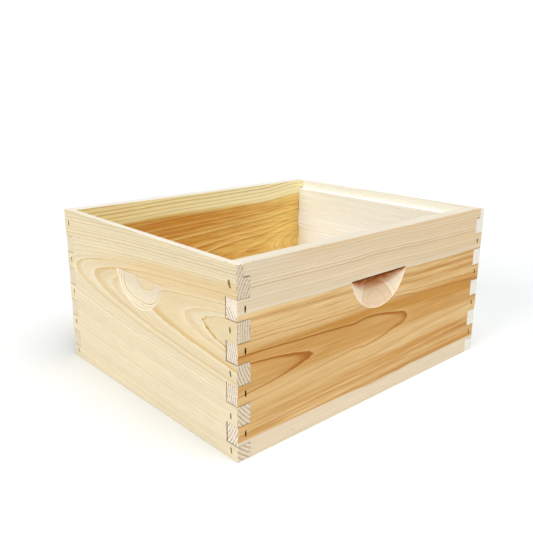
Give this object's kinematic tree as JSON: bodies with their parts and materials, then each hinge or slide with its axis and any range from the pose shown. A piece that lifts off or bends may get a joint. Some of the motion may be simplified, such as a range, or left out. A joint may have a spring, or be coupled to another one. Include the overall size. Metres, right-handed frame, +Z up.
{
  "type": "brood box",
  "caption": "Open-bottomed wooden hive body with finger-jointed, stapled corners, a frame-rest rabbet inside both end boards and a half-moon handhold in each side.",
  "frame": {"origin": "middle of the box's footprint, on the surface that it stands on", "axes": "+Z up, +Y along the side boards from the front end to the rear end, +X across the box towards the right side board"},
  "size_m": [0.413, 0.505, 0.24],
  "materials": {
    "front_end_wood": "planed, unfinished fir sapwood",
    "rear_end_wood": "planed, unfinished fir sapwood",
    "right_side_wood": "planed, unfinished fir heartwood with sapwood edges",
    "left_side_wood": "planed, unfinished fir heartwood",
    "staple_wire": "dull galvanised staple wire"
  },
  "bodies": {
    "root": {"front_end_board": "front_end_wood", "rear_end_board": "rear_end_wood", "right_side_board": "right_side_wood", "left_side_board": "left_side_wood", "front_right_end_staples": "staple_wire", "front_left_end_staples": "staple_wire", "rear_right_end_staples": "staple_wire", "rear_left_end_staples": "staple_wire", "front_right_side_staples": "staple_wire", "front_left_side_staples": "staple_wire", "rear_right_side_staples": "staple_wire", "rear_left_side_staples": "staple_wire"}
  },
  "joints": []
}
